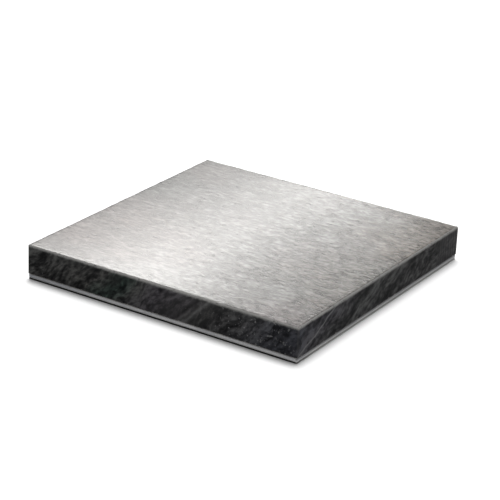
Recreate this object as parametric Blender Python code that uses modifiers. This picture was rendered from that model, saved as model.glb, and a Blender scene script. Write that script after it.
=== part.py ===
"""Granite slab for tooling leather: a square stone on a bonded pad of foam and rubber.

Metres, +Z up. The origin is the centre of the rubber's underside, on the bench. X runs
along the grinding lines of the stone's working face, and Y runs across them.
"""

import bpy

# Driving dimensions
SIDE = 0.3048  # the stone is 12 inches square
STONE_THICKNESS = 0.030  # 3 cm slab stock
ARRIS = 0.0015  # leg of the 45 degree arris round the working face
CORNER_ARRIS = 0.0008  # the same along the four upright corners
UNDER_ARRIS = 0.0005  # the same round the underside, where the edge is only eased
FOAM_THICKNESS = 0.003  # closed-cell foam, which deadens a mallet's blows
RUBBER_THICKNESS = 0.0012  # the sheet that grips the bench
PAD_CORNER_RADIUS = 0.0012  # the foam and the rubber are die-cut with small round corners
FILM_THICKNESS = 0.0001  # double-sided adhesive film
FILM_SETBACK = 0.0004  # each film stops this far inside the pad's cut edge
BOND_GAP = 0.0003  # clearance above and below a film
ROUND_SEGMENTS = 4  # facets round a pad's corner

# Sizes and levels that follow from them
PAD_SIDE = SIDE - 2 * UNDER_ARRIS  # the pad covers the stone's flat underside
FILM_SIDE = PAD_SIDE - 2 * FILM_SETBACK
BOND_LINE = FILM_THICKNESS + 2 * BOND_GAP
LOWER_FILM_Z = RUBBER_THICKNESS + BOND_GAP
FOAM_Z = RUBBER_THICKNESS + BOND_LINE
UPPER_FILM_Z = FOAM_Z + FOAM_THICKNESS + BOND_GAP
STONE_Z = FOAM_Z + FOAM_THICKNESS + BOND_LINE

# Finishes: colour, roughness and metallic value
GRANITE = ("granite", (0.060, 0.060, 0.062), 0.45, 0.0)
FOAM = ("foam", (0.330, 0.335, 0.345), 0.80, 0.0)
RUBBER = ("rubber", (0.010, 0.010, 0.011), 0.75, 0.0)
FILM = ("adhesive_film", (0.620, 0.600, 0.540), 0.40, 0.0)


def clear_scene():
    for old in list(bpy.data.objects):
        bpy.data.objects.remove(old)


def make_material(name, colour, roughness, metallic):
    material = bpy.data.materials.new(name)
    material.use_nodes = True
    shader = material.node_tree.nodes["Principled BSDF"]
    shader.inputs["Base Color"].default_value = (*colour, 1.0)
    shader.inputs["Roughness"].default_value = roughness
    shader.inputs["Metallic"].default_value = metallic
    return material


def make_collection(name):
    collection = bpy.data.collections.new(name)
    bpy.context.scene.collection.children.link(collection)
    return collection


def make_home(name, collection):
    """The empty that carries the pieces, at the centre of the underside."""
    home = bpy.data.objects.new(name, None)
    collection.objects.link(home)
    return home


def add_square(name, side, thickness, base_z, material, home):
    """A flat square piece centred on Z, with its underside at base_z."""
    bpy.ops.mesh.primitive_cube_add(size=1.0)
    piece = bpy.context.object
    piece.name = name
    piece.scale = (side, side, thickness)
    bpy.ops.object.transform_apply(location=False, rotation=False, scale=True)
    piece.location.z = base_z + thickness / 2
    piece.data.materials.append(material)
    for collection in list(piece.users_collection):
        collection.objects.unlink(piece)
    home.users_collection[0].objects.link(piece)
    piece.parent = home
    return piece


def edge_place(edge, vertices):
    """Where an edge of a box is: up a corner, or round its upper or its lower face."""
    first, second = (vertices[index].co for index in edge.vertices)
    if first.xy == second.xy:
        return "corner"
    return "upper" if first.z > 0 else "lower"


def ease_edges(piece, widths, segments):
    """Bevels a box. widths gives each place's width; a place that it leaves out stays sharp."""
    mesh = piece.data
    widest = max(widths.values())
    weights = mesh.attributes.new("bevel_weight_edge", "FLOAT", "EDGE")
    for edge in mesh.edges:
        width = widths.get(edge_place(edge, mesh.vertices), 0.0)
        weights.data[edge.index].value = width / widest
    eased = piece.modifiers.new("eased_edges", "BEVEL")
    eased.limit_method = "WEIGHT"
    eased.width = widest
    eased.segments = segments


def add_stone(material, home):
    """The block, with flat ground arrises round both faces and up the corners."""
    stone = add_square("stone_block", SIDE, STONE_THICKNESS, STONE_Z, material, home)
    arrises = {"upper": ARRIS, "corner": CORNER_ARRIS, "lower": UNDER_ARRIS}
    ease_edges(stone, arrises, 1)


def add_pad_layer(name, thickness, base_z, material, home):
    """A die-cut layer of the pad, square-edged with round corners."""
    layer = add_square(name, PAD_SIDE, thickness, base_z, material, home)
    ease_edges(layer, {"corner": PAD_CORNER_RADIUS}, ROUND_SEGMENTS)


def build():
    clear_scene()
    home = make_home("underside_centre", make_collection("granite_slab"))
    granite, foam, rubber, film = (
        make_material(*finish) for finish in (GRANITE, FOAM, RUBBER, FILM)
    )
    add_stone(granite, home)
    add_square("upper_adhesive_film", FILM_SIDE, FILM_THICKNESS, UPPER_FILM_Z, film, home)
    add_pad_layer("foam_pad", FOAM_THICKNESS, FOAM_Z, foam, home)
    add_square("lower_adhesive_film", FILM_SIDE, FILM_THICKNESS, LOWER_FILM_Z, film, home)
    add_pad_layer("rubber_sheet", RUBBER_THICKNESS, 0.0, rubber, home)


build()
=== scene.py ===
import math

import bmesh
import bpy
from mathutils import Matrix, Vector, noise


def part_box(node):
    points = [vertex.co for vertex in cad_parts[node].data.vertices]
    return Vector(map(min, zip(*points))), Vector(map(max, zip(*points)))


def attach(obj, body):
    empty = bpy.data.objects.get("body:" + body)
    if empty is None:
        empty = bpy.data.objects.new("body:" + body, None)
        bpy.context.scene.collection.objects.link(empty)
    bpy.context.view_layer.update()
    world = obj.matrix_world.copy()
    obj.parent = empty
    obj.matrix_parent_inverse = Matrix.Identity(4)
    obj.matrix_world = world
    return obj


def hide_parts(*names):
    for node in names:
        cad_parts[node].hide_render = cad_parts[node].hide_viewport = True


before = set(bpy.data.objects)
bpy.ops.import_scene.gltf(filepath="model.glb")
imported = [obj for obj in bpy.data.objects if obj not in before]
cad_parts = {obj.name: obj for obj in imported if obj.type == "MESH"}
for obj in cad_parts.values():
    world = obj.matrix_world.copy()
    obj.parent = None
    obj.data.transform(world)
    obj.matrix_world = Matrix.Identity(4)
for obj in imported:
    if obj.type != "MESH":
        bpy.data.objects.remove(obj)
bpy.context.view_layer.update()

mm = 0.001
stoneLow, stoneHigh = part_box("stone_block")
side = stoneHigh.x - stoneLow.x
halfSide = side / 2
topZ = stoneHigh.z

# the slab seen from its front corner, a little from above
cameraView = {
    "azimuth": 32.03,  # degrees, turned from the front towards +X
    "elevation": 22.78,
    "roll": 2.59,
    "distance": 6.333,  # in sides of the slab
    "aim": (-0.0131, 0.0353, 0.05),  # in sides of the slab
    "lens": 140.7,
    "sensor": 36.0,
    "farthest": 50,  # metres
}


def addCamera(view):
    azimuth = math.radians(view["azimuth"])
    elevation = math.radians(view["elevation"])
    level = math.cos(elevation)
    back = Vector((math.sin(azimuth) * level, -math.cos(azimuth) * level, math.sin(elevation)))
    right = Vector((math.cos(azimuth), math.sin(azimuth), 0))
    up = back.cross(right)
    roll = Matrix.Rotation(math.radians(view["roll"]), 3, "Z")
    turn = Matrix((right, up, back)).transposed() @ roll
    data = bpy.data.cameras.new("camera")
    data.lens = view["lens"]
    data.sensor_width = view["sensor"]
    data.clip_end = view["farthest"]
    camera = bpy.data.objects.new("camera", data)
    bpy.context.collection.objects.link(camera)
    place = Vector(view["aim"]) * side + back * view["distance"] * side
    camera.matrix_world = Matrix.Translation(place) @ turn.to_4x4()
    bpy.context.scene.camera = camera


addCamera(cameraView)
print("camera in place")


# short ways to put nodes into a shader or geometry tree
def put(tree, kind, inputs=None, **settings):
    made = tree.nodes.new(kind)
    for name, value in settings.items():
        setattr(made, name, value)
    for name, value in (inputs or {}).items():
        if isinstance(value, bpy.types.NodeSocket):
            tree.links.new(value, made.inputs[name])
        else:
            made.inputs[name].default_value = value
    return made


def maths(tree, operation, *values):
    return put(tree, "ShaderNodeMath", dict(enumerate(values)), operation=operation).outputs[0]


def vectorMaths(tree, operation, *values):
    return put(tree, "ShaderNodeVectorMath", dict(enumerate(values)), operation=operation).outputs[0]


def scaled(tree, vector, factor):
    return put(tree, "ShaderNodeVectorMath", {0: vector, "Scale": factor}, operation="SCALE").outputs[0]


# how far a point lies along a direction
def lengthAlong(tree, point, direction):
    made = put(tree, "ShaderNodeVectorMath", {0: point, 1: direction}, operation="DOT_PRODUCT")
    return made.outputs["Value"]


def axes(tree, vector):
    return put(tree, "ShaderNodeSeparateXYZ", {0: vector}).outputs


# a value that runs from one range to another and stops at its ends
def spread(tree, value, low, high, toLow=0.0, toHigh=1.0):
    ends = {"Value": value, "From Min": low, "From Max": high, "To Min": toLow, "To Max": toHigh}
    return put(tree, "ShaderNodeMapRange", ends, interpolation_type="SMOOTHSTEP").outputs[0]


def spreadEvenly(tree, value, low, high):
    ends = {"Value": value, "From Min": low, "From Max": high}
    return put(tree, "ShaderNodeMapRange", ends).outputs[0]


def ramp(tree, factor, *stops):
    made = put(tree, "ShaderNodeValToRGB", {"Fac": factor})
    marks = made.color_ramp.elements
    while len(marks) < len(stops):
        marks.new(0.5)
    for mark, (position, colour) in zip(marks, stops):
        mark.position = position
        mark.color = (*colour, 1) if isinstance(colour, tuple) else (colour, colour, colour, 1)
    return made.outputs["Color"]


def mix(tree, factor, first, second, way="MIX"):
    pair = [(*colour, 1) if isinstance(colour, tuple) else colour for colour in (first, second)]
    made = put(tree, "ShaderNodeMix", data_type="RGBA", blend_type=way)
    for index, value in ((0, factor), (6, pair[0]), (7, pair[1])):
        if isinstance(value, bpy.types.NodeSocket):
            tree.links.new(value, made.inputs[index])
        else:
            made.inputs[index].default_value = value
    return made.outputs[2]


# a shader group, the sockets it is given and the sockets for its results
def newGroup(name, inputs, outputs):
    group = bpy.data.node_groups.new(name, "ShaderNodeTree")
    for label, kind, value in inputs:
        socket = group.interface.new_socket(label, in_out="INPUT", socket_type=kind)
        if value is not None:
            socket.default_value = value
    for label in outputs:
        group.interface.new_socket(label, in_out="OUTPUT", socket_type="NodeSocketFloat")
    given = group.nodes.new("NodeGroupInput").outputs
    result = group.nodes.new("NodeGroupOutput").inputs
    return group, given, result


def useGroup(tree, group, **values):
    made = put(tree, "ShaderNodeGroup", node_tree=group)
    for name, value in values.items():
        socket = made.inputs[name.replace("_", " ")]
        if isinstance(value, bpy.types.NodeSocket):
            tree.links.new(value, socket)
        else:
            socket.default_value = value
    return made.outputs


def newMaterial(name, **plain):
    material = bpy.data.materials.new(name)
    material.use_nodes = True
    tree = material.node_tree
    shader = tree.nodes["Principled BSDF"]
    for label, value in plain.items():
        shader.inputs[label.replace("_", " ")].default_value = value
    return material, tree, shader.inputs


def objectPoint(tree):
    return put(tree, "ShaderNodeTexCoord").outputs["Object"]


# size is the length of one feature along each axis, in mm
def stretched(tree, point, size, turn=0.0):
    scale = tuple(1 / (length * mm) for length in size)
    values = {"Vector": point, "Rotation": (0, 0, math.radians(turn)), "Scale": scale}
    return put(tree, "ShaderNodeMapping", values).outputs[0]


def noiseAt(tree, point, detail=2.0, roughness=0.5, seed=0.0):
    values = {"Vector": point, "W": seed, "Scale": 1.0, "Detail": detail, "Roughness": roughness}
    return put(tree, "ShaderNodeTexNoise", values, noise_dimensions="4D").outputs["Fac"]


# how far a noise value is from its middle, times an amount
def swing(tree, value, amount):
    return maths(tree, "MULTIPLY", maths(tree, "SUBTRACT", value, 0.5), amount)


vectorKind = "NodeSocketVector"
floatKind = "NodeSocketFloat"


# 1 on the edges of a square piece and 0 away from them, with a ragged limit
def edgeWearGroup():
    group, given, result = newGroup(
        "edgeWear",
        [
            ("Point", vectorKind, None),
            ("Half Side", floatKind, halfSide),
            ("Low", floatKind, 0.0),
            ("High", floatKind, topZ),
            ("Width", floatKind, 2 * mm),
            ("Raggedness", floatKind, 0.5),
        ],
        ["Mask"],
    )
    parts = axes(group, given["Point"])
    inX = maths(group, "SUBTRACT", given["Half Side"], maths(group, "ABSOLUTE", parts["X"]))
    inY = maths(group, "SUBTRACT", given["Half Side"], maths(group, "ABSOLUTE", parts["Y"]))
    below = maths(group, "SUBTRACT", given["High"], parts["Z"])
    above = maths(group, "SUBTRACT", parts["Z"], given["Low"])
    inZ = maths(group, "MINIMUM", below, above)
    nearer = maths(group, "MINIMUM", inX, inY)
    farther = maths(group, "MAXIMUM", inX, inY)
    # a point is on an edge when the second nearest face is close too
    second = maths(group, "MAXIMUM", nearer, maths(group, "MINIMUM", farther, inZ))
    rag = noiseAt(group, stretched(group, given["Point"], (3, 3, 3)), detail=4, roughness=0.65)
    ragged = maths(group, "MULTIPLY", swing(group, rag, 2.0), given["Raggedness"])
    share = maths(group, "ADD", maths(group, "DIVIDE", second, given["Width"]), ragged)
    group.links.new(spread(group, share, 1.0, 0.35), result["Mask"])
    return group


# the stone all through: dark and light mineral drawn out along the foliation, with pale specks
foliation = Vector((0.68, 0.29, -0.68)).normalized()  # square to the beds
foliated = {
    "bendSize": 34,  # mm
    "bend": 16 * mm,
    "bandStretch": 4.0,  # how many times as long as thick the bands are
    "grainStretch": 2.4,
    "wanderStretch": 2.5,
    "wander": 22 * mm,
    "fleckSize": 2.4,
    "fleckLimits": (0.70, 0.30),  # the noise level where flecks begin, for no share and for a whole one
    "fleckEdge": 0.07,  # how much higher they are full
    "crystalSize": 0.7,
    "grainRelief": 1.5,
}


def graniteGrainGroup(look):
    group, given, result = newGroup(
        "graniteGrain",
        [
            ("Point", vectorKind, None),
            ("Grain Size", floatKind, 3.0),  # mm
            ("Band Size", floatKind, 12.0),
            ("Band Strength", floatKind, 0.5),
            ("Speck Share", floatKind, 0.1),
        ],
        ["Tone", "Depth", "Specks", "Relief"],
    )
    point = given["Point"]

    def evenNoise(size, **choices):
        return noiseAt(group, stretched(group, point, (size,) * 3), **choices)

    across = lengthAlong(group, point, foliation)
    bend = swing(group, evenNoise(look["bendSize"], detail=1, seed=6.1), look["bend"])
    bent = maths(group, "ADD", across, bend)
    level = scaled(group, foliation, across)
    bentLevel = scaled(group, foliation, bent)
    inPlane = vectorMaths(group, "SUBTRACT", point, level)

    def drawnOut(stretch, size):
        squeezed = vectorMaths(group, "MULTIPLY_ADD", inPlane, (1 / stretch,) * 3, bentLevel)
        scale = maths(group, "DIVIDE", 1 / mm, size)
        return scaled(group, squeezed, scale)

    bandPlace = drawnOut(look["bandStretch"], given["Band Size"])
    bands = noiseAt(group, bandPlace, detail=2, roughness=0.5, seed=2.2)
    grainPlace = drawnOut(look["grainStretch"], given["Grain Size"])
    grains = noiseAt(group, grainPlace, detail=4, roughness=0.6, seed=3.1)
    tone = maths(group, "ADD", grains, swing(group, bands, given["Band Strength"]))
    wander = noiseAt(group, drawnOut(look["wanderStretch"], given["Band Size"]), detail=2, seed=8.8)
    depth = maths(group, "ADD", bent, swing(group, wander, look["wander"]))
    flecks = evenNoise(look["fleckSize"], detail=3, roughness=0.6, seed=4.2)
    highLimit, lowLimit = look["fleckLimits"]
    limit = maths(group, "MULTIPLY_ADD", given["Speck Share"], lowLimit - highLimit, highLimit)
    specks = spread(group, flecks, limit, maths(group, "ADD", limit, look["fleckEdge"]))
    crystals = evenNoise(look["crystalSize"], detail=3, roughness=0.7)
    relief = maths(group, "ADD", crystals, maths(group, "MULTIPLY", grains, look["grainRelief"]))
    for label, value in (("Tone", tone), ("Depth", depth), ("Specks", specks), ("Relief", relief)):
        group.links.new(value, result[label])
    return group


# a mask that lies in uneven drifts
def driftMaskGroup():
    group, given, result = newGroup(
        "driftMask",
        [
            ("Point", vectorKind, None),
            ("Drift Size", floatKind, 12.0),  # mm
            ("Amount", floatKind, 0.5),
            ("Softness", floatKind, 0.25),
        ],
        ["Mask"],
    )
    scale = maths(group, "DIVIDE", 1 / mm, given["Drift Size"])
    drifts = noiseAt(group, scaled(group, given["Point"], scale), detail=4, roughness=0.65)
    limit = maths(group, "SUBTRACT", 1.0, given["Amount"])
    low = maths(group, "SUBTRACT", limit, given["Softness"])
    high = maths(group, "ADD", limit, given["Softness"])
    group.links.new(spread(group, drifts, low, high), result["Mask"])
    return group


edgeWear = edgeWearGroup()
graniteGrain = graniteGrainGroup(foliated)
driftMask = driftMaskGroup()

# the working face, ground with a coarse belt that ran along X
groundFace = {
    "darkTone": (0.042, 0.041, 0.039),
    "middleTone": (0.107, 0.104, 0.100),
    "paleTone": (0.200, 0.196, 0.190),
    "toneStops": (0.39, 0.51, 0.64),
    "tints": ((0.975, 0.995, 0.985), (1.0, 1.0, 1.0), (1.025, 0.99, 0.985)),
    "tintStops": (0.38, 0.5, 0.62),
    "tintSize": (75, 60, 60),  # mm, as all the sizes here
    # where oil from the leather has got into the stone: centre, reach and tint; the dark patch on the right
    # is also painted shade, where the highlight falls away
    "stainsAndShade": (
        ((-105 * mm, -75 * mm, topZ), 120 * mm, (1.09, 0.99, 0.975)),
        ((150 * mm, 100 * mm, topZ), 110 * mm, (1.07, 0.97, 0.90)),
        ((160 * mm, -40 * mm, topZ), 130 * mm, (0.80, 0.765, 0.725)),
        ((128 * mm, -138 * mm, topZ), 50 * mm, (1.05, 0.98, 1.0)),
    ),
    "patchCore": 0.2,  # the part of its reach over which a patch is full
    "swaySize": (16, 11, 11),
    "sway": 9 * mm,
    "strokeSize": (12.0, 3.8, 3.8),
    "strokeTurn": 3,  # degrees off the way the belt ran
    "nickSize": (6.0, 2.1, 2.1),
    "nickTurn": -4,
    "hairSize": (16.0, 0.45, 0.45),
    "markShares": (0.46, 0.36, 0.18),  # of strokes, nicks and hairs
    "cloudSize": (48, 30, 30),
    "cloudStrength": 0.15,
    "biteAndGlintRange": (-20 * mm, 80 * mm, 0.9, 1.5),  # the marks grow stronger towards the right: the belt bit deeper there, and in the colour this is painted glint where the highlight falls away
    "roughness": (0.13, 0.185),
    "bumpHeight": 0.26 * mm,
    "cornerWidth": 1.8 * mm,
    "cornerWear": 0.25,
}


def tintedBy(tree, colour, patchTint):
    return mix(tree, 1.0, colour, patchTint, "MULTIPLY")


# the belt's marks, as one height from 0 to 1
def beltMarks(tree, point, look):
    swayNoise = noiseAt(tree, stretched(tree, point, look["swaySize"]), detail=1, seed=7.3)
    sway = swing(tree, swayNoise, look["sway"])
    offset = put(tree, "ShaderNodeCombineXYZ", {"Y": sway}).outputs[0]
    swayed = vectorMaths(tree, "ADD", point, offset)
    strokePlace = stretched(tree, swayed, look["strokeSize"], look["strokeTurn"])
    strokes = noiseAt(tree, strokePlace, detail=2, roughness=0.55)
    nickPlace = stretched(tree, swayed, look["nickSize"], look["nickTurn"])
    nicks = noiseAt(tree, nickPlace, detail=2, roughness=0.6, seed=2.9)
    hairs = noiseAt(tree, stretched(tree, point, look["hairSize"]), detail=2, roughness=0.6, seed=1.7)
    marks = 0.0
    for kind, share in zip((strokes, nicks, hairs), look["markShares"]):
        marks = maths(tree, "ADD", marks, maths(tree, "MULTIPLY", kind, share))
    # stronger marks towards the right: deeper relief in the bump, and painted glints in the colour
    biteAndGlint = spread(tree, axes(tree, point)["X"], *look["biteAndGlintRange"])
    return maths(tree, "ADD", 0.5, swing(tree, marks, biteAndGlint))


def groundFaceMaterial(look):
    material, tree, shader = newMaterial("groundFace", Specular_IOR_Level=0.5)
    point = objectPoint(tree)
    marks = beltMarks(tree, point, look)
    clouds = noiseAt(tree, stretched(tree, point, look["cloudSize"]), detail=2, seed=4.4)
    tone = maths(tree, "ADD", marks, swing(tree, clouds, look["cloudStrength"]))
    tones = (look["darkTone"], look["middleTone"], look["paleTone"])
    colour = ramp(tree, tone, *zip(look["toneStops"], tones))
    tint = noiseAt(tree, stretched(tree, point, look["tintSize"]), detail=2, seed=5.9)
    colour = tintedBy(tree, colour, ramp(tree, tint, *zip(look["tintStops"], look["tints"])))
    # stains, and on the right a patch of painted shade
    for place, reach, patchTint in look["stainsAndShade"]:
        away = put(tree, "ShaderNodeVectorMath", {0: point, 1: place}, operation="DISTANCE").outputs["Value"]
        away = maths(tree, "ADD", away, swing(tree, clouds, reach))
        within = spread(tree, away, reach, look["patchCore"] * reach)
        colour = mix(tree, within, colour, tintedBy(tree, colour, patchTint))
    # High lies well above the face, so only its four corners count as worn
    worn = {"High": topZ + 10 * mm, "Width": look["cornerWidth"], "Raggedness": 0.6}
    corners = useGroup(tree, edgeWear, Point=point, **worn)["Mask"]
    colour = mix(tree, maths(tree, "MULTIPLY", corners, look["cornerWear"]), colour, look["paleTone"])
    smooth, rough = look["roughness"]
    bump = put(tree, "ShaderNodeBump", {"Height": marks, "Strength": 1.0, "Distance": look["bumpHeight"]})
    tree.links.new(colour, shader["Base Color"])
    tree.links.new(spread(tree, marks, 0.35, 0.65, rough, smooth), shader["Roughness"])
    tree.links.new(bump.outputs[0], shader["Normal"])
    return material


# the sawn sides and the eased arrises
sawnStone = {
    "darkTone": (0.0042, 0.0043, 0.0047),
    "middleTone": (0.0205, 0.0203, 0.0206),
    "paleTone": (0.0600, 0.0595, 0.0590),
    "toneStops": (0.34, 0.48, 0.65),
    "grainSize": 3.4,  # mm
    "bandStrength": 0.75,
    # tints of the beds, by how far along the foliation they lie in mm
    "beds": (
        (-165, (0.99, 1.0, 0.98)),
        (-105, (1.0, 1.0, 0.96)),
        (-92, (0.72, 1.04, 0.90)),
        (-80, (0.98, 1.0, 0.97)),
        (-62, (1.03, 0.96, 1.08)),
        (-38, (1.05, 0.96, 1.06)),
        (-24, (1.0, 1.0, 0.97)),
        (8, (0.98, 0.98, 1.03)),
        (40, (0.90, 0.95, 1.14)),
        (56, (1.0, 0.97, 1.08)),
        (74, (0.97, 1.0, 0.99)),
        (110, (1.0, 1.0, 1.0)),
    ),
    "speckTone": (0.115, 0.115, 0.117),
    "speckRange": (-20 * mm, 130 * mm, 0.02, 0.30),  # more of them towards the right
    "speckFade": (0.3 * mm, 3 * mm),  # and none on the right-hand side itself
    # how far each seam lies behind the front foot, half its thickness, its tone and its strength
    "seams": (
        (148 * mm, 7.0 * mm, "darkTone", 0.45),
        (90 * mm, 38.0 * mm, "paleTone", 0.30),
        (91 * mm, 3.0 * mm, "darkTone", 0.60),
        (84 * mm, 2.4 * mm, "veinTone", 0.34),
        (22 * mm, 15.0 * mm, "darkTone", 0.40),
        (-31 * mm, 2.2 * mm, "darkTone", 0.50),
        (-42 * mm, 3.0 * mm, "darkTone", 0.50),
        (-24 * mm, 1.6 * mm, "veinTone", 0.22),
        (0.0, 1.2 * mm, "veinTone", 0.80),
    ),
    "seamWobble": 4 * mm,
    "veinTone": (0.13, 0.13, 0.13),
    "sawPitch": 4.9 * mm,
    "sawDrift": 2.0,  # how many pitches the marks stray
    "sawnTone": (0.036, 0.035, 0.036),
    "sawEnd": (258 * mm, 274 * mm),  # x + y where the blade's marks begin and where they are full
    "sawEvens": 0.65,  # how far the blade evened out the grain there
    "sawShade": 0.55,  # how dark each mark is
    "wornTone": (0.07, 0.07, 0.07),
    "wornWidth": 1.6 * mm,
    "wornShare": 0.30,
    "arrisTone": (0.21, 0.207, 0.20),
    "arrisDepth": (3.3 * mm, 0.2 * mm),  # below the face, where its pale tone ends and where it is full
    "arrisRag": 2.6 * mm,
    "roughness": (0.65, 0.45),
    "bumpHeight": 0.25 * mm,
}


# thin and broad seams that lie between the beds
def addSeams(tree, colour, point, look):
    frontFoot = Vector((halfSide, -halfSide, stoneLow.z))
    wobble = noiseAt(tree, stretched(tree, point, (16, 16, 16)), detail=2, seed=9.2)
    depth = lengthAlong(tree, point, foliation)
    depth = maths(tree, "ADD", depth, swing(tree, wobble, look["seamWobble"]))
    for offset, thick, tone, strength in look["seams"]:
        middle = frontFoot.dot(foliation) - offset
        away = maths(tree, "ABSOLUTE", maths(tree, "SUBTRACT", depth, middle))
        colour = mix(tree, spread(tree, away, thick, 0.0, 0.0, strength), colour, look[tone])
    return colour


# the blade left a few upright marks where it ran out of the stone: their colour and their height
def addSawMarks(tree, colour, point, parts, look):
    run = maths(tree, "ADD", parts["X"], parts["Y"])
    uneven = noiseAt(tree, stretched(tree, point, (30, 30, 60)), detail=1, seed=5.5)
    drift = swing(tree, uneven, look["sawDrift"])
    turns = maths(tree, "ADD", maths(tree, "DIVIDE", run, look["sawPitch"]), drift)
    saw = maths(tree, "SINE", maths(tree, "MULTIPLY", turns, 2 * math.pi))
    here = spread(tree, run, *look["sawEnd"])
    colour = mix(tree, maths(tree, "MULTIPLY", here, look["sawEvens"]), colour, look["sawnTone"])
    shade = maths(tree, "MULTIPLY", here, spread(tree, saw, -0.6, 1.0, 0.0, look["sawShade"]))
    colour = mix(tree, shade, colour, look["darkTone"])
    return colour, maths(tree, "MULTIPLY", saw, maths(tree, "MULTIPLY", here, 0.3))


def sawnStoneMaterial(look):
    material, tree, shader = newMaterial("sawnStone", Specular_IOR_Level=0.03)
    point = objectPoint(tree)
    parts = axes(tree, point)
    fadeEnd, fadeStart = look["speckFade"]
    fade = spread(tree, parts["X"], halfSide - fadeEnd, halfSide - fadeStart)
    share = maths(tree, "MULTIPLY", spread(tree, parts["X"], *look["speckRange"]), fade)
    sizes = {"Grain_Size": look["grainSize"], "Band_Strength": look["bandStrength"]}
    grain = useGroup(tree, graniteGrain, Point=point, Speck_Share=share, **sizes)
    tones = (look["darkTone"], look["middleTone"], look["paleTone"])
    colour = ramp(tree, grain["Tone"], *zip(look["toneStops"], tones))
    bedStart = look["beds"][0][0]
    bedEnd = look["beds"][-1][0]
    bedShare = spreadEvenly(tree, grain["Depth"], bedStart * mm, bedEnd * mm)
    bedStops = [((place - bedStart) / (bedEnd - bedStart), tint) for place, tint in look["beds"]]
    colour = tintedBy(tree, colour, ramp(tree, bedShare, *bedStops))
    colour = mix(tree, grain["Specks"], colour, look["speckTone"])
    colour = addSeams(tree, colour, point, look)
    colour, sawRelief = addSawMarks(tree, colour, point, parts, look)
    edge = {"Low": stoneLow.z, "Width": look["wornWidth"], "Raggedness": 0.9}
    worn = useGroup(tree, edgeWear, Point=point, **edge)["Mask"]
    colour = mix(tree, maths(tree, "MULTIPLY", worn, look["wornShare"]), colour, look["wornTone"])
    rag = noiseAt(tree, stretched(tree, point, (2.6, 2.6, 2.6)), detail=3, roughness=0.6, seed=3.7)
    under = maths(tree, "SUBTRACT", topZ, parts["Z"])
    under = maths(tree, "ADD", under, swing(tree, rag, look["arrisRag"]))
    colour = mix(tree, spread(tree, under, *look["arrisDepth"]), colour, look["arrisTone"])
    relief = maths(tree, "ADD", grain["Relief"], sawRelief)
    bump = put(tree, "ShaderNodeBump", {"Height": relief, "Strength": 0.4, "Distance": look["bumpHeight"]})
    tree.links.new(colour, shader["Base Color"])
    tree.links.new(spread(tree, grain["Relief"], 0.9, 1.6, *look["roughness"]), shader["Roughness"])
    tree.links.new(bump.outputs[0], shader["Normal"])
    return material


# where a chip has left the edge
freshBreak = {
    "darkTone": (0.070, 0.070, 0.071),
    "paleTone": (0.190, 0.188, 0.184),
    "speckTone": (0.26, 0.26, 0.26),
    "grainSize": 1.2,  # mm
    "bandStrength": 0.3,
    "speckShare": 0.25,
    "roughness": (0.75, 0.5),
    "bumpHeight": 0.2 * mm,
}


def freshBreakMaterial(look):
    material, tree, shader = newMaterial("freshBreak", Specular_IOR_Level=0.10)
    sizes = {"Grain_Size": look["grainSize"], "Band_Strength": look["bandStrength"]}
    sizes["Speck_Share"] = look["speckShare"]
    grain = useGroup(tree, graniteGrain, Point=objectPoint(tree), **sizes)
    colour = ramp(tree, grain["Tone"], (0.35, look["darkTone"]), (0.65, look["paleTone"]))
    colour = mix(tree, grain["Specks"], colour, look["speckTone"])
    relief = {"Height": grain["Relief"], "Strength": 0.8, "Distance": look["bumpHeight"]}
    tree.links.new(colour, shader["Base Color"])
    tree.links.new(spread(tree, grain["Relief"], 0.9, 1.6, *look["roughness"]), shader["Roughness"])
    tree.links.new(put(tree, "ShaderNodeBump", relief).outputs[0], shader["Normal"])
    return material


closedCellFoam = {
    "darkTone": (0.34, 0.345, 0.36),
    "paleTone": (0.56, 0.555, 0.55),
    "cellSize": 0.5,  # mm
    "cellShare": 0.4,
    "cloudShare": 0.7,
    "leftEndTone": (0.20, 0.21, 0.23),
    "leftEndRange": (-30 * mm, -150 * mm),  # where the darkening towards the left-hand end begins and where it is full
    "leftEndLeast": 0.55,
    # painted shade under the stone along the right-hand edge
    "underStoneShadeTone": (0.13, 0.13, 0.135),
    "underStoneShadeShare": 0.70,
    "wornTone": (0.16, 0.16, 0.17),
    "wornWidth": 0.7 * mm,
    "wornShare": 0.3,
    "bumpHeight": 0.15 * mm,
}


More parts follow.
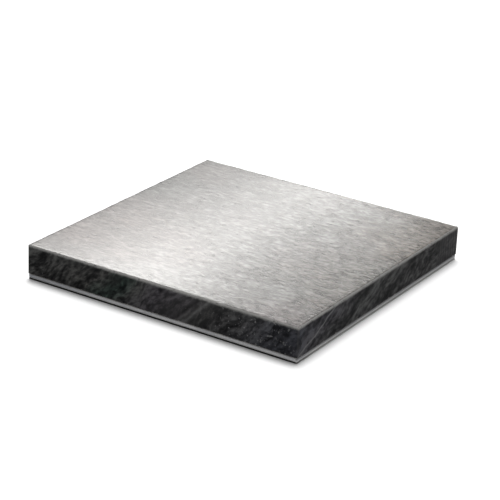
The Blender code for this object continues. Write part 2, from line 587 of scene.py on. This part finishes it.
def foamMaterial(look):
    material, tree, shader = newMaterial("closedCellFoam", Specular_IOR_Level=0.2)
    low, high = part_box("foam_pad")
    point = objectPoint(tree)
    parts = axes(tree, point)
    cellPlace = stretched(tree, point, (look["cellSize"],) * 3)
    cells = put(tree, "ShaderNodeTexVoronoi", {"Vector": cellPlace, "Scale": 1.0}).outputs["Distance"]
    clouds = noiseAt(tree, stretched(tree, point, (22, 22, 4)), detail=3)
    cellPart = maths(tree, "MULTIPLY", cells, look["cellShare"])
    mottle = maths(tree, "ADD", cellPart, maths(tree, "MULTIPLY", clouds, look["cloudShare"]))
    colour = ramp(tree, mottle, (0.38, look["darkTone"]), (0.75, look["paleTone"]))
    # darker towards the left-hand end, unevenly in drifts
    towardsLeftEnd = spread(tree, parts["X"], *look["leftEndRange"])
    drifts = useGroup(tree, driftMask, Point=point, Drift_Size=18.0, Amount=0.5)["Mask"]
    least = look["leftEndLeast"]
    uneven = maths(tree, "ADD", least, maths(tree, "MULTIPLY", drifts, 1 - least))
    colour = mix(tree, maths(tree, "MULTIPLY", towardsLeftEnd, uneven), colour, look["leftEndTone"])
    # painted shade under the overhanging stone along the right-hand edge, darkest at the top of the foam
    rightEdge = spread(tree, parts["X"], high.x - 2 * mm, high.x - 0.5 * mm)
    underStone = spread(tree, parts["Z"], low.z + 0.5 * mm, high.z - 0.4 * mm, 0.0, look["underStoneShadeShare"])
    colour = mix(tree, maths(tree, "MULTIPLY", rightEdge, underStone), colour, look["underStoneShadeTone"])
    edge = {"Half_Side": high.x, "Low": low.z, "High": high.z, "Width": look["wornWidth"]}
    worn = useGroup(tree, edgeWear, Point=point, **edge)["Mask"]
    colour = mix(tree, maths(tree, "MULTIPLY", worn, look["wornShare"]), colour, look["wornTone"])
    bump = put(tree, "ShaderNodeBump", {"Height": cells, "Strength": 0.5, "Distance": look["bumpHeight"]})
    tree.links.new(colour, shader["Base Color"])
    tree.links.new(spread(tree, clouds, 0.3, 0.7, 0.72, 0.9), shader["Roughness"])
    tree.links.new(bump.outputs[0], shader["Normal"])
    return material


gripRubber = {
    "tone": (0.0045, 0.0045, 0.005),
    "paleTone": (0.016, 0.016, 0.0155),
    # painted light along the right-hand edge
    "paleEdgeTone": (0.44, 0.435, 0.42),
    "paleEdgeShare": 0.85,
    "paleEdgeAlong": 45 * mm,  # it thins out over this length towards the front corner
    "weave": 0.9 * mm,  # the print of the cloth that the sheet was pressed on
    "weaveHeight": 0.08 * mm,
}


def rubberMaterial(look):
    material, tree, shader = newMaterial("gripRubber", Specular_IOR_Level=0.1)
    low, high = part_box("rubber_sheet")
    point = objectPoint(tree)
    parts = axes(tree, point)
    mottle = noiseAt(tree, stretched(tree, point, (9, 9, 2)), detail=4, roughness=0.6)
    colour = ramp(tree, mottle, (0.38, look["tone"]), (0.72, look["paleTone"]))
    # painted light: the right-hand edge is painted pale in drifts, so that no dark line shows along the foot
    # on that side
    against = spread(tree, parts["X"], high.x - 2 * mm, high.x - 0.5 * mm)
    drifts = useGroup(tree, driftMask, Point=point, Drift_Size=7.0, Amount=0.85)["Mask"]
    along = spread(tree, parts["Y"], low.y, low.y + look["paleEdgeAlong"], 0.5, 1.0)
    paleEdge = maths(tree, "MULTIPLY", maths(tree, "MULTIPLY", against, drifts), along)
    colour = mix(tree, maths(tree, "MULTIPLY", paleEdge, look["paleEdgeShare"]), colour, look["paleEdgeTone"])
    threads = 2 * math.pi / look["weave"]
    warp = maths(tree, "SINE", maths(tree, "MULTIPLY", parts["X"], threads))
    weft = maths(tree, "SINE", maths(tree, "MULTIPLY", parts["Y"], threads))
    cloth = maths(tree, "MULTIPLY", warp, weft)
    bump = put(tree, "ShaderNodeBump", {"Height": cloth, "Strength": 0.4, "Distance": look["weaveHeight"]})
    tree.links.new(colour, shader["Base Color"])
    tree.links.new(spread(tree, mottle, 0.4, 0.7, 0.62, 0.85), shader["Roughness"])
    tree.links.new(bump.outputs[0], shader["Normal"])
    return material


adhesiveFilm = {"darkTone": (0.50, 0.47, 0.40), "paleTone": (0.66, 0.64, 0.58), "roughness": (0.35, 0.55)}


def filmMaterial(look):
    material, tree, shader = newMaterial("adhesiveFilm", Specular_IOR_Level=0.4)
    streaks = noiseAt(tree, stretched(tree, objectPoint(tree), (6, 6, 6)), detail=4)
    colour = ramp(tree, streaks, (0.35, look["darkTone"]), (0.65, look["paleTone"]))
    tree.links.new(colour, shader["Base Color"])
    tree.links.new(spread(tree, streaks, 0.3, 0.7, *look["roughness"]), shader["Roughness"])
    return material


groundFaceLook = groundFaceMaterial(groundFace)
sawnStoneLook = sawnStoneMaterial(sawnStone)
freshBreakLook = freshBreakMaterial(freshBreak)
foamLook = foamMaterial(closedCellFoam)
rubberLook = rubberMaterial(gripRubber)
filmLook = filmMaterial(adhesiveFilm)
print("materials mixed")


# points and outward directions round a square with turned corners, sideSteps to each straight run
def squareOutline(half, radius, cornerSteps, sideSteps):
    points = []
    straight = 2 * (half - radius)
    for corner in range(4):
        start = -math.pi / 2 + corner * math.pi / 2
        diagonal = Vector((math.cos(start + math.pi / 4), math.sin(start + math.pi / 4)))
        for step in range(cornerSteps + 1):
            angle = start + step / cornerSteps * math.pi / 2
            outward = Vector((math.cos(angle), math.sin(angle)))
            points.append((diagonal * math.sqrt(2) * (half - radius) + outward * radius, outward))
        last, outward = points[-1]
        along = Vector((-outward.y, outward.x))
        for step in range(1, sideSteps):
            points.append((last + along * straight * step / sideSteps, outward))
    return points


# a row of new vertices round a plain square
def squareRow(build, half, steps, z):
    corners = [(half, -half), (half, half), (-half, half), (-half, -half)]
    row = []
    for first, second in zip(corners, corners[1:] + corners[:1]):
        for step in range(steps):
            x, y = Vector(first).lerp(Vector(second), step / steps)
            row.append(build.verts.new((x, y, z)))
    return row


coarsest = 30  # steps along a side of an end's inner grid


# a flat end in rows that halve their count on the way in, then a plain grid
def closeEnd(build, ring, half, cornerSteps, sideSteps, upward, dub):
    def face(corners):
        build.faces.new(corners if upward else list(reversed(corners)))

    # the face falls away a little towards its rim
    def level(inset):
        share = 1 - max(0.0, 1 - inset / dub["width"]) ** 2
        return z + dub["drop"] * share * (1 if upward else -1)

    z = ring[0].co.z
    rim = half
    spacing = 2 * half / sideSteps
    count, steps = cornerSteps + sideSteps, sideSteps
    half -= spacing
    row = squareRow(build, half, steps, level(rim - half))
    for corner in range(4):
        face(ring[corner * count:corner * count + cornerSteps + 1] + [row[corner * steps]])
        for step in range(steps):
            outer = corner * count + cornerSteps + step
            inner = corner * steps + step
            face([ring[outer], ring[(outer + 1) % len(ring)], row[(inner + 1) % len(row)], row[inner]])
    while steps % 2 == 0 and steps > coarsest:
        spacing, steps = spacing * 2, steps // 2
        half -= spacing
        inside = squareRow(build, half, steps, level(rim - half))
        for step in range(len(inside)):
            after = (step + 1) % len(inside)
            outer = [row[2 * step], row[2 * step + 1], row[(2 * step + 2) % len(row)]]
            face(outer + [inside[after], inside[step]])
        row = inside
    grid = {}
    for step in range(steps):
        grid[steps, step] = row[step]
        grid[steps - step, steps] = row[steps + step]
        grid[0, steps - step] = row[2 * steps + step]
        grid[step, 0] = row[3 * steps + step]
    for i in range(1, steps):
        for j in range(1, steps):
            place = (half * (2 * i / steps - 1), half * (2 * j / steps - 1), level(rim))
            grid[i, j] = build.verts.new(place)
    for i in range(steps):
        for j in range(steps):
            face([grid[i, j], grid[i + 1, j], grid[i + 1, j + 1], grid[i, j + 1]])


# a closed solid from rings of points, lowest first
def stackRings(name, rings, cornerSteps, sideSteps, endHalves, dubs, material):
    mesh = bpy.data.meshes.new(name)
    build = bmesh.new()
    levels = [[build.verts.new(point) for point in ring] for ring in rings]
    for lower, upper in zip(levels, levels[1:]):
        for here in range(len(lower)):
            after = (here + 1) % len(lower)
            build.faces.new((lower[here], lower[after], upper[after], upper[here]))
    closeEnd(build, levels[0], endHalves[0], cornerSteps, sideSteps, False, dubs[0])
    closeEnd(build, levels[-1], endHalves[1], cornerSteps, sideSteps, True, dubs[1])
    build.to_mesh(mesh)
    build.free()
    mesh.materials.append(material)
    piece = bpy.data.objects.new(name, mesh)
    bpy.context.collection.objects.link(piece)
    return piece


def shadeSmoothly(mesh, angle):
    mesh.shade_smooth()
    mesh.set_sharp_from_angle(angle=math.radians(angle))


# a smooth random value either side of 0, with features of a given size in mm
def ripple(place, size, amount, seed=0.0):
    apart = Vector((seed, seed * 1.7, seed * 2.3))
    return noise.noise(Vector(place) / (size * mm) + apart) * amount


flat = {"drop": 0.0, "width": 1 * mm}  # an end that doesn't fall away

# the block of granite
stoneBlock = {
    "sideSteps": 384,
    "cornerSteps": 1,
    "arris": 1.5 * mm,
    "underArris": 0.5 * mm,
    "cornerArris": 0.8 * mm,
    "arrisSteps": 6,
    "roundness": 0.5,  # 0 is a flat chamfer, 1 a quarter round
    # how unevenly the arrises were eased by hand: size in mm, amount and seed
    "easing": ((14, 0.3, 0), (4.5, 0.25, 3), (1.6, 0.15, 9)),
    "easingLimits": (0.5, 1.4),
    "sideRings": 6,
    "sawWave": 0.10 * mm,
    "sawWaves": ((30, 0.5, 0), (7, 0.25, 5)),
    "sharpFrom": 32,  # degrees
    "dub": {"drop": 0.045 * mm, "width": 4.5 * mm},  # the belt ran over the rim
    "chips": {
        "Spacing": 1.7 * mm,
        "Chip Share": 0.40,
        "Smallest Chip": 0.40 * mm,
        "Largest Chip": 2.2 * mm,
        "Shallowness": 0.72,  # how far outside the stone each lump's middle lies, in its radii
        "Scatter": 0.4 * mm,
        "Seed": 11,
    },
}


# how far each ring of an arris lies in from the side and down from the top, side face first
def arrisSection(steps, roundness):
    pairs = []
    for step in range(steps + 1):
        share = step / steps
        angle = share * math.pi / 2
        inset = (1 - math.cos(angle)) * roundness + share * (1 - roundness)
        drop = (1 - math.sin(angle)) * roundness + (1 - share) * (1 - roundness)
        pairs.append((inset, drop))
    return pairs


def cutBlock(look):
    cornerSteps, sideSteps = look["cornerSteps"], look["sideSteps"]
    outline = squareOutline(halfSide, look["cornerArris"], cornerSteps, sideSteps)
    section = arrisSection(look["arrisSteps"], look["roundness"])
    low = stoneLow.z
    high = topZ - look["dub"]["drop"]
    least, most = look["easingLimits"]

    def sawn(point, outward, z):
        wave = 0.0
        for size, amount, seed in look["sawWaves"]:
            wave += ripple((point.x, point.y, z), size, amount, seed)
        return point - outward * look["sawWave"] * (1 + wave)

    def arrisHere(point, width, firstSeed):
        share = 1
        for size, amount, seed in look["easing"]:
            share += ripple((point.x, point.y, 0), size, amount, firstSeed + seed)
        return width * min(most, max(least, share))

    rings = []
    for inset, drop in reversed(section[::2]):  # the lower arris is small, so every second ring will do
        ring = []
        for point, outward in outline:
            size = arrisHere(point, look["underArris"], 20)
            place = point - outward * inset * size
            ring.append((place.x, place.y, low + drop * size))
        rings.append(ring)
    bottomSide = low + 1.5 * look["underArris"]
    topSide = high - 1.5 * look["arris"]
    for level in range(look["sideRings"]):
        z = bottomSide + (topSide - bottomSide) * level / (look["sideRings"] - 1)
        rings.append([(*sawn(point, outward, z), z) for point, outward in outline])
    for inset, drop in section:
        ring = []
        for point, outward in outline:
            size = arrisHere(point, look["arris"], 2)
            place = point - outward * (inset * size + look["sawWave"] * (1 - inset) * 0.5)
            ring.append((place.x, place.y, high - drop * size))
        rings.append(ring)
    endHalves = (halfSide - most * look["underArris"], halfSide - most * look["arris"])
    dubs = (flat, look["dub"])
    block = stackRings("block", rings, cornerSteps, sideSteps, endHalves, dubs, sawnStoneLook)
    lowerLine = look["arrisSteps"] // 2 - 1
    upperLine = len(rings) - look["arrisSteps"] + 1
    markChipLines(block.data, outline, {lowerLine: -1, upperLine: 1})
    return block


# the rings at which chips may start and the way out of the stone there, kept as attributes
def markChipLines(mesh, outline, ringWays):
    marks = mesh.attributes.new("chipLine", "BOOLEAN", "EDGE")
    ways = mesh.attributes.new("chipWay", "FLOAT_VECTOR", "POINT")
    count = len(outline)
    for edge in mesh.edges:
        first, second = (index // count for index in edge.vertices)
        marks.data[edge.index].value = first == second and first in ringWays
    for ring, rise in ringWays.items():
        for index, (point, outward) in enumerate(outline):
            way = Vector((outward.x, outward.y, rise))
            ways.data[ring * count + index].vector = way.normalized()


# knocks small chips out of the marked lines, then gives the top its ground face
def chippedEdgesTree():
    tree = bpy.data.node_groups.new("chippedEdges", "GeometryNodeTree")
    socketKinds = {"Block": "Geometry", "Seed": "Int", "Break": "Material", "Ground": "Material"}
    labels = ("Block", "Spacing", "Chip Share", "Smallest Chip", "Largest Chip", "Shallowness", "Scatter")
    for label in (*labels, "Ground From", "Seed", "Break", "Ground"):
        kind = "NodeSocket" + socketKinds.get(label, "Float")
        tree.interface.new_socket(label, in_out="INPUT", socket_type=kind)
    tree.interface.new_socket("Stone", in_out="OUTPUT", socket_type="NodeSocketGeometry")
    given = tree.nodes.new("NodeGroupInput").outputs
    result = tree.nodes.new("NodeGroupOutput").inputs

    def draw(salt):
        return maths(tree, "ADD", given["Seed"], salt)

    def drawVector(salt, low, high):
        values = {0: (low,) * 3, 1: (high,) * 3, "Seed": draw(salt)}
        return put(tree, "FunctionNodeRandomValue", values, data_type="FLOAT_VECTOR").outputs[0]

    def kept(name, kind):
        return put(tree, "GeometryNodeInputNamedAttribute", {"Name": name}, data_type=kind).outputs[0]

    def greater(value, limit):
        return put(tree, "FunctionNodeCompare", {0: value, 1: limit}, operation="GREATER_THAN").outputs[0]

    # starts for the chips along the marked lines
    marked = {"Mesh": given["Block"], "Selection": kept("chipLine", "BOOLEAN")}
    curves = put(tree, "GeometryNodeMeshToCurve", marked).outputs[0]
    resample = {"Curve": curves, "Length": given["Spacing"]}
    curves = put(tree, "GeometryNodeResampleCurve", resample, mode="LENGTH").outputs[0]
    chance = {"Probability": given["Chip Share"], "Seed": draw(2)}
    chosen = put(tree, "FunctionNodeRandomValue", chance, data_type="BOOLEAN").outputs[3]
    fromNothing = {2: 0.0, 3: 1.0, "Seed": draw(3)}
    luck = put(tree, "FunctionNodeRandomValue", fromNothing, data_type="FLOAT").outputs[1]
    rarer = maths(tree, "POWER", luck, 3.0)  # most chips are small
    reach = maths(tree, "SUBTRACT", given["Largest Chip"], given["Smallest Chip"])
    size = maths(tree, "MULTIPLY_ADD", rarer, reach, given["Smallest Chip"])
    shape = scaled(tree, drawVector(4, 0.7, 1.3), size)
    way = kept("chipWay", "FLOAT_VECTOR")
    outside = scaled(tree, way, maths(tree, "MULTIPLY", size, given["Shallowness"]))
    offset = vectorMaths(tree, "ADD", outside, scaled(tree, drawVector(1, -1.0, 1.0), given["Scatter"]))
    starts = put(tree, "GeometryNodeSetPosition", {"Geometry": curves, "Offset": offset}).outputs[0]
    # a lump on each, to be taken out of the block
    turn = put(tree, "FunctionNodeEulerToRotation", {0: drawVector(5, 0.0, 2 * math.pi)}).outputs[0]
    lump = put(tree, "GeometryNodeMeshIcoSphere", {"Radius": 1.0, "Subdivisions": 2}).outputs[0]
    strewing = {"Points": starts, "Selection": chosen, "Instance": lump, "Rotation": turn, "Scale": shape}
    lumps = put(tree, "GeometryNodeInstanceOnPoints", strewing).outputs[0]
    lumps = put(tree, "GeometryNodeRealizeInstances", {"Geometry": lumps}).outputs[0]
    lumps = put(tree, "GeometryNodeSetMaterial", {"Geometry": lumps, "Material": given["Break"]}).outputs[0]
    taking = {0: given["Block"], 1: lumps, 2: True}
    cut = put(tree, "GeometryNodeMeshBoolean", taking, operation="DIFFERENCE", solver="EXACT")
    whole = put(tree, "GeometryNodeRealizeInstances", {"Geometry": cut.outputs[0]}).outputs[0]
    # the ground face is what lies high and looks up
    height = axes(tree, tree.nodes.new("GeometryNodeInputPosition").outputs[0])["Z"]
    facing = axes(tree, tree.nodes.new("GeometryNodeInputNormal").outputs[0])["Z"]
    both = {0: greater(height, given["Ground From"]), 1: greater(facing, 0.97)}
    top = put(tree, "FunctionNodeBooleanMath", both, operation="AND").outputs[0]
    painting = {"Geometry": whole, "Selection": top, "Material": given["Ground"]}
    tree.links.new(put(tree, "GeometryNodeSetMaterial", painting).outputs[0], result["Stone"])
    return tree


# runs a geometry tree on an object and leaves a plain mesh in a new object
def bake(source, tree, values, name):
    modifier = source.modifiers.new(tree.name, "NODES")
    modifier.node_group = tree
    for socket in tree.interface.items_tree:
        if socket.in_out == "INPUT" and socket.name in values:
            modifier[socket.identifier] = values[socket.name]
    evaluated = source.evaluated_get(bpy.context.evaluated_depsgraph_get())
    mesh = bpy.data.meshes.new_from_object(evaluated)
    source.modifiers.remove(modifier)
    piece = bpy.data.objects.new(name, mesh)
    mesh.name = name
    bpy.context.collection.objects.link(piece)
    bpy.data.objects.remove(source)
    return piece


def makeStone(look):
    block = cutBlock(look)
    values = dict(look["chips"])
    values["Ground From"] = topZ - look["dub"]["drop"] - 0.02 * mm
    values["Break"] = freshBreakLook
    values["Ground"] = groundFaceLook
    stone = bake(block, chippedEdgesTree(), values, "stoneBlock")
    shadeSmoothly(stone.data, look["sharpFrom"])
    return stone


stone = makeStone(stoneBlock)
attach(stone, "root")
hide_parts("stone_block")
print("stone cut:", len(stone.data.polygons), "faces")

# the foam, cut with a knife, so that its edge bulges a little under the stone
foamPad = {
    "sideSteps": 192,
    "cornerSteps": 4,
    "cornerRadius": 1.2 * mm,
    "levels": 7,
    "bulge": 0.22 * mm,
    "setBack": 0.6,  # how much of the bulge the edge is set back by
    "squeeze": 0.15 * mm,  # how far it presses into the clearance above and below
    "waves": ((9, 0.10 * mm, 0), (2.2, 0.06 * mm, 4)),  # of the knife: size in mm, amount and seed
    "endInset": 1 * mm,
    "sharpFrom": 40,  # degrees
}


def makeFoam(look):
    low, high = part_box("foam_pad")
    cornerSteps, sideSteps = look["cornerSteps"], look["sideSteps"]
    outline = squareOutline(high.x, look["cornerRadius"], cornerSteps, sideSteps)
    bottom = low.z - look["squeeze"]
    top = high.z + look["squeeze"]
    rings = []
    for level in range(look["levels"]):
        share = level / (look["levels"] - 1)
        z = bottom + (top - bottom) * share
        belly = math.sin(math.pi * share)
        ring = []
        for point, outward in outline:
            wave = 0.0
            for size, amount, seed in look["waves"]:
                wave += ripple((point.x, point.y, z), size, amount, seed)
            place = point + outward * (look["bulge"] * (belly - look["setBack"]) + wave)
            ring.append((place.x, place.y, z))
        rings.append(ring)
    endHalves = (high.x - look["endInset"],) * 2
    pad = stackRings("foamPad", rings, cornerSteps, sideSteps, endHalves, (flat, flat), foamLook)
    shadeSmoothly(pad.data, look["sharpFrom"])
    return pad


foam = makeFoam(foamPad)
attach(foam, "root")
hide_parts("foam_pad")

# the rubber, moulded with a small round along its rims
rubberSheet = {
    "sideSteps": 192,
    "cornerSteps": 4,
    "cornerRadius": 1.2 * mm,
    "rim": 0.18 * mm,
    "rimRound": 0.3,
    "wave": (12, 0.12 * mm, 8),  # size in mm, amount and seed
    "endInset": 1 * mm,
    "sharpFrom": 30,  # degrees
}


def makeRubber(look):
    low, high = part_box("rubber_sheet")
    cornerSteps, sideSteps = look["cornerSteps"], look["sideSteps"]
    outline = squareOutline(high.x, look["cornerRadius"], cornerSteps, sideSteps)
    rim = look["rim"]
    part = look["rimRound"] * rim
    section = [(rim, low.z), (part, low.z + part), (0, low.z + rim)]
    section += [(0, high.z - rim), (part, high.z - part), (rim, high.z)]
    rings = []
    for inset, z in section:
        ring = []
        for point, outward in outline:
            wave = ripple((point.x, point.y, z), *look["wave"])
            place = point - outward * (inset - wave)
            ring.append((place.x, place.y, z))
        rings.append(ring)
    endHalves = (high.x - look["endInset"],) * 2
    sheet = stackRings("rubberSheet", rings, cornerSteps, sideSteps, endHalves, (flat, flat), rubberLook)
    shadeSmoothly(sheet.data, look["sharpFrom"])
    return sheet


rubber = makeRubber(rubberSheet)
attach(rubber, "root")
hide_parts("rubber_sheet")

# the two films keep their own shape and only get a better finish
for node in ("upper_adhesive_film", "lower_adhesive_film"):
    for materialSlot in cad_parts[node].material_slots:
        materialSlot.material = filmLook
print("pad laid")

# floor, world and lamps
studio = {
    "floorSize": 14.0,
    "floorTones": (0.87, 0.88),
    "floorMottle": (300, 300, 300),  # mm
    "worldStrength": 0.40,
    "overheadStrength": 2.85,
    "overheadAngle": 22,  # degrees across
    "overheadLean": (-0.10, 0.19, 1.0),
    "panelPlace": (-0.60, 0.925),
    "panelLength": 1.35,
    "panelHeights": (0.30, 0.572),
    "panelPower": 5.42,
    "panelTint": (1.0, 0.985, 0.96),
    "panelRise": (0.36, 0.55, 0.27, 1.62),  # from one height to another, from dim to full
    "panelFade": (0.25, 1.05, 1.82, 0.97),  # the same along its length
}


def addFloor(look):
    bpy.ops.mesh.primitive_plane_add(size=look["floorSize"], location=(0, 0, 0))
    floor = bpy.context.object
    floor.name = "floor"
    material, tree, shader = newMaterial("paleFloor", Specular_IOR_Level=0.1, Roughness=0.9)
    mottle = noiseAt(tree, stretched(tree, objectPoint(tree), look["floorMottle"]), detail=2)
    tone = ramp(tree, mottle, *zip((0.3, 0.7), look["floorTones"]))
    tree.links.new(tone, shader["Base Color"])
    floor.data.materials.append(material)


def addLamp(name, kind, place, direction, **settings):
    data = bpy.data.lights.new(name, kind)
    for label, value in settings.items():
        setattr(data, label, value)
    lamp = bpy.data.objects.new(name, data)
    bpy.context.collection.objects.link(lamp)
    lamp.location = place
    lamp.rotation_euler = Vector(direction).to_track_quat("-Z", "Y").to_euler()
    return lamp


def addWorld(look):
    world = bpy.data.worlds.new("studioWorld")
    world.use_nodes = True
    background = world.node_tree.nodes["Background"]
    background.inputs["Color"].default_value = (1, 1, 1, 1)
    background.inputs["Strength"].default_value = look["worldStrength"]
    bpy.context.scene.world = world


# a tall soft panel behind the slab, which the ground face mirrors as a broad band
def addPanel(look):
    low, high = look["panelHeights"]
    x, y = look["panelPlace"]
    settings = {"shape": "RECTANGLE", "size": look["panelLength"], "size_y": high - low}
    settings.update({"energy": look["panelPower"], "color": look["panelTint"], "use_nodes": True})
    panel = addLamp("panel", "AREA", (x, y, (low + high) / 2), (1, 0, 0), **settings)
    panel.visible_camera = False
    tree = panel.data.node_tree
    place = axes(tree, put(tree, "ShaderNodeNewGeometry").outputs["Position"])
    rise = spread(tree, place["Z"], *look["panelRise"])
    fade = spread(tree, place["Y"], *look["panelFade"])
    tree.links.new(maths(tree, "MULTIPLY", rise, fade), tree.nodes["Emission"].inputs["Strength"])


addFloor(studio)
addWorld(studio)
overhead = {"energy": studio["overheadStrength"], "angle": math.radians(studio["overheadAngle"])}
addLamp("overhead", "SUN", (0, 0, 2), -Vector(studio["overheadLean"]), **overhead)
addPanel(studio)
bpy.context.scene.view_settings.view_transform = "Standard"
print("studio lit")
